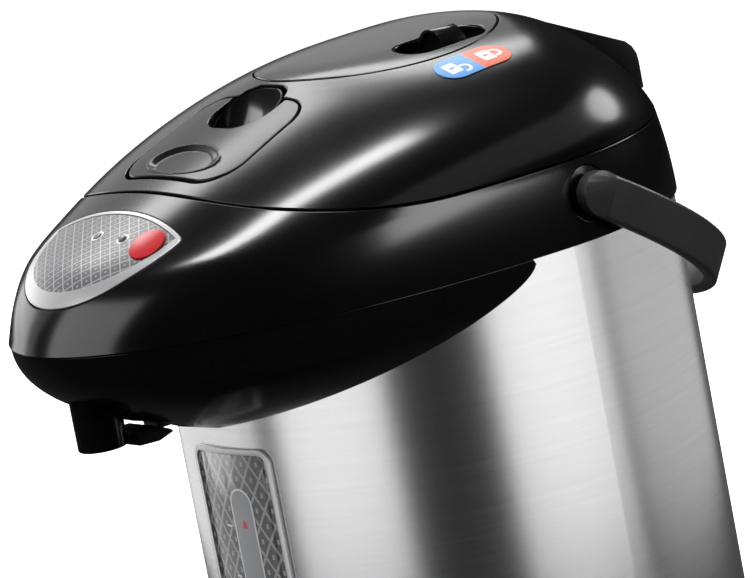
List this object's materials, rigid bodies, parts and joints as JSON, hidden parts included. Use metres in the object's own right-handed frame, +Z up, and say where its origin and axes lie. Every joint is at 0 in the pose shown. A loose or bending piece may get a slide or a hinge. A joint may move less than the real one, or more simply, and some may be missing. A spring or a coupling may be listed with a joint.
{
  "type": "electric thermo pot",
  "caption": "Insulated electric water dispenser with a beaked head, pour button, cup-press lever, domed hinged lid with press plate, bail handle and swivel base.",
  "frame": {"origin": "on the body axis at the table, under the turntable", "axes": "+Z up; the beak with the spout points along -Y; the lid hinge is at +Y; +X is the pot's left as it faces the viewer"},
  "size_m": [0.22, 0.2947, 0.331],
  "materials": {
    "black_gloss": "glossy black moulding",
    "black_matte": "matte black moulding",
    "grey_plastic": "mid grey moulding",
    "white_plastic": "off-white moulding",
    "brushed_steel": "brushed upright",
    "bright_steel": "bright steel",
    "silver_plastic": "silver paint",
    "clear_tube": "clear",
    "silicone": "translucent silicone",
    "black_rubber": "soft black",
    "red_gloss": "glossy red",
    "badge_print": "printed blue and red",
    "lens_white": "clear milky lens",
    "board_green": "green laminate",
    "brass": "plain",
    "alu": "cast",
    "mica": "mica wrap",
    "ceramic": "ivory ceramic",
    "window_dark": "clear moulding with grey print",
    "panel_grey": "printed grey under clear film",
    "magnet_grey": "sintered magnet"
  },
  "bodies": {
    "base": {"turntable": "black_matte", "foot_pads": "black_rubber", "swivel_retainer": "bright_steel"},
    "pot": {"bottom_plate": "black_matte", "base_ring": "black_gloss", "base_screws": "bright_steel", "outer_shell": "brushed_steel", "neck_ring": "black_matte", "collar": "black_gloss", "chin_cover": "black_gloss", "inner_tank": "bright_steel", "heater_plate": "alu", "heater_band": "mica", "thermostat": "alu", "thermal_fuse": "ceramic", "pump_motor": "alu", "pump_housing": "white_plastic", "suction_hose": "silicone", "delivery_hose": "silicone", "level_tube": "clear_tube", "window_panel": "window_dark", "window_frame": "silver_plastic", "outlet_hose": "silicone", "spout": "black_gloss", "cup_lever_pin": "bright_steel", "cup_switch": "grey_plastic", "panel_face": "panel_grey", "panel_frame": "silver_plastic", "indicator_lenses": "lens_white", "control_board": "board_green", "power_board": "board_green", "power_inlet": "black_matte", "inlet_pins": "brass", "hinge_bracket": "black_matte", "hinge_pin": "bright_steel", "bail_pivots": "black_matte", "latch_keeper": "bright_steel"},
    "rotor": {"drive_magnet": "magnet_grey"},
    "wheel": {"impeller": "white_plastic"},
    "cup_trigger": {"cup_lever": "black_gloss"},
    "button": {"pour_button": "red_gloss"},
    "bail": {"bail_handle": "black_gloss"},
    "lid": {"lid_shell": "black_gloss", "vent_hood": "black_matte", "finger_well": "black_gloss", "lid_chassis": "grey_plastic", "inner_cover": "bright_steel", "lid_gasket": "silicone", "steam_cap": "white_plastic", "lever_hinge_pin": "bright_steel", "lever_spring": "bright_steel", "bellows": "silicone", "bellows_seat": "white_plastic", "press_spring": "bright_steel", "lock_badge": "badge_print"},
    "lever": {"release_lever": "black_gloss"},
    "latch": {"latch_bolt": "grey_plastic"},
    "press": {"press_plate": "black_gloss"},
    "knob": {"lock_knob": "black_gloss"}
  },
  "joints": [
    {"name": "swivel", "type": "hinge", "parent": "base", "child": "pot", "pos_m": [0, 0, 0.009], "axis": [0, 0, 1], "continuous": true},
    {"name": "lid_hinge", "type": "hinge", "parent": "pot", "child": "lid", "pos_m": [0, 0.099, 0.2789], "axis": [-1, 0, 0], "range_deg": [0, 80]},
    {"name": "bail_swing", "type": "hinge", "parent": "pot", "child": "bail", "pos_m": [0, 0.0124, 0.2672], "axis": [1, 0, 0], "range_deg": [0, 122]},
    {"name": "pour_press", "type": "slide", "parent": "pot", "child": "button", "axis": [-0.1368, 0.4848, -0.8639], "range_m": [0, 0.0012], "stiffness_N_per_m": 450, "springref_m": -0.0003},
    {"name": "cup_press", "type": "hinge", "parent": "pot", "child": "cup_trigger", "pos_m": [0, -0.128, 0.2195], "axis": [1, 0, 0], "range_deg": [0, 12], "stiffness_Nm_per_rad": 0.04, "springref_deg": -5.73},
    {"name": "motor_spin", "type": "hinge", "parent": "pot", "child": "rotor", "pos_m": [0, -0.038, 0.028], "axis": [0, 0, 1], "continuous": true},
    {"name": "impeller_spin", "type": "hinge", "parent": "pot", "child": "wheel", "pos_m": [0, -0.038, 0.037], "axis": [0, 0, 1], "continuous": true},
    {"name": "lever_lift", "type": "hinge", "parent": "lid", "child": "lever", "pos_m": [0, -0.101, 0.2969], "axis": [1, 0, 0], "range_deg": [0, 20], "stiffness_Nm_per_rad": 0.25, "springref_deg": -8.59},
    {"name": "latch_slide", "type": "slide", "parent": "lid", "child": "latch", "axis": [0, 1, 0], "range_m": [0, 0.0042]},
    {"name": "pump_press", "type": "slide", "parent": "lid", "child": "press", "axis": [0, 0, -1], "range_m": [0, 0.012], "stiffness_N_per_m": 600, "springref_m": -0.002, "deforming": ["bellows", "press_spring"]},
    {"name": "lock_slide", "type": "slide", "parent": "press", "child": "knob", "axis": [0, 1, 0], "range_m": [-0.0096, 0.0076]}
  ],
  "couplings": [
    {"joint": "impeller_spin", "follows": "motor_spin", "ratio": 1},
    {"joint": "latch_slide", "follows": "lever_lift", "m_per_rad": 0.0115}
  ]
}
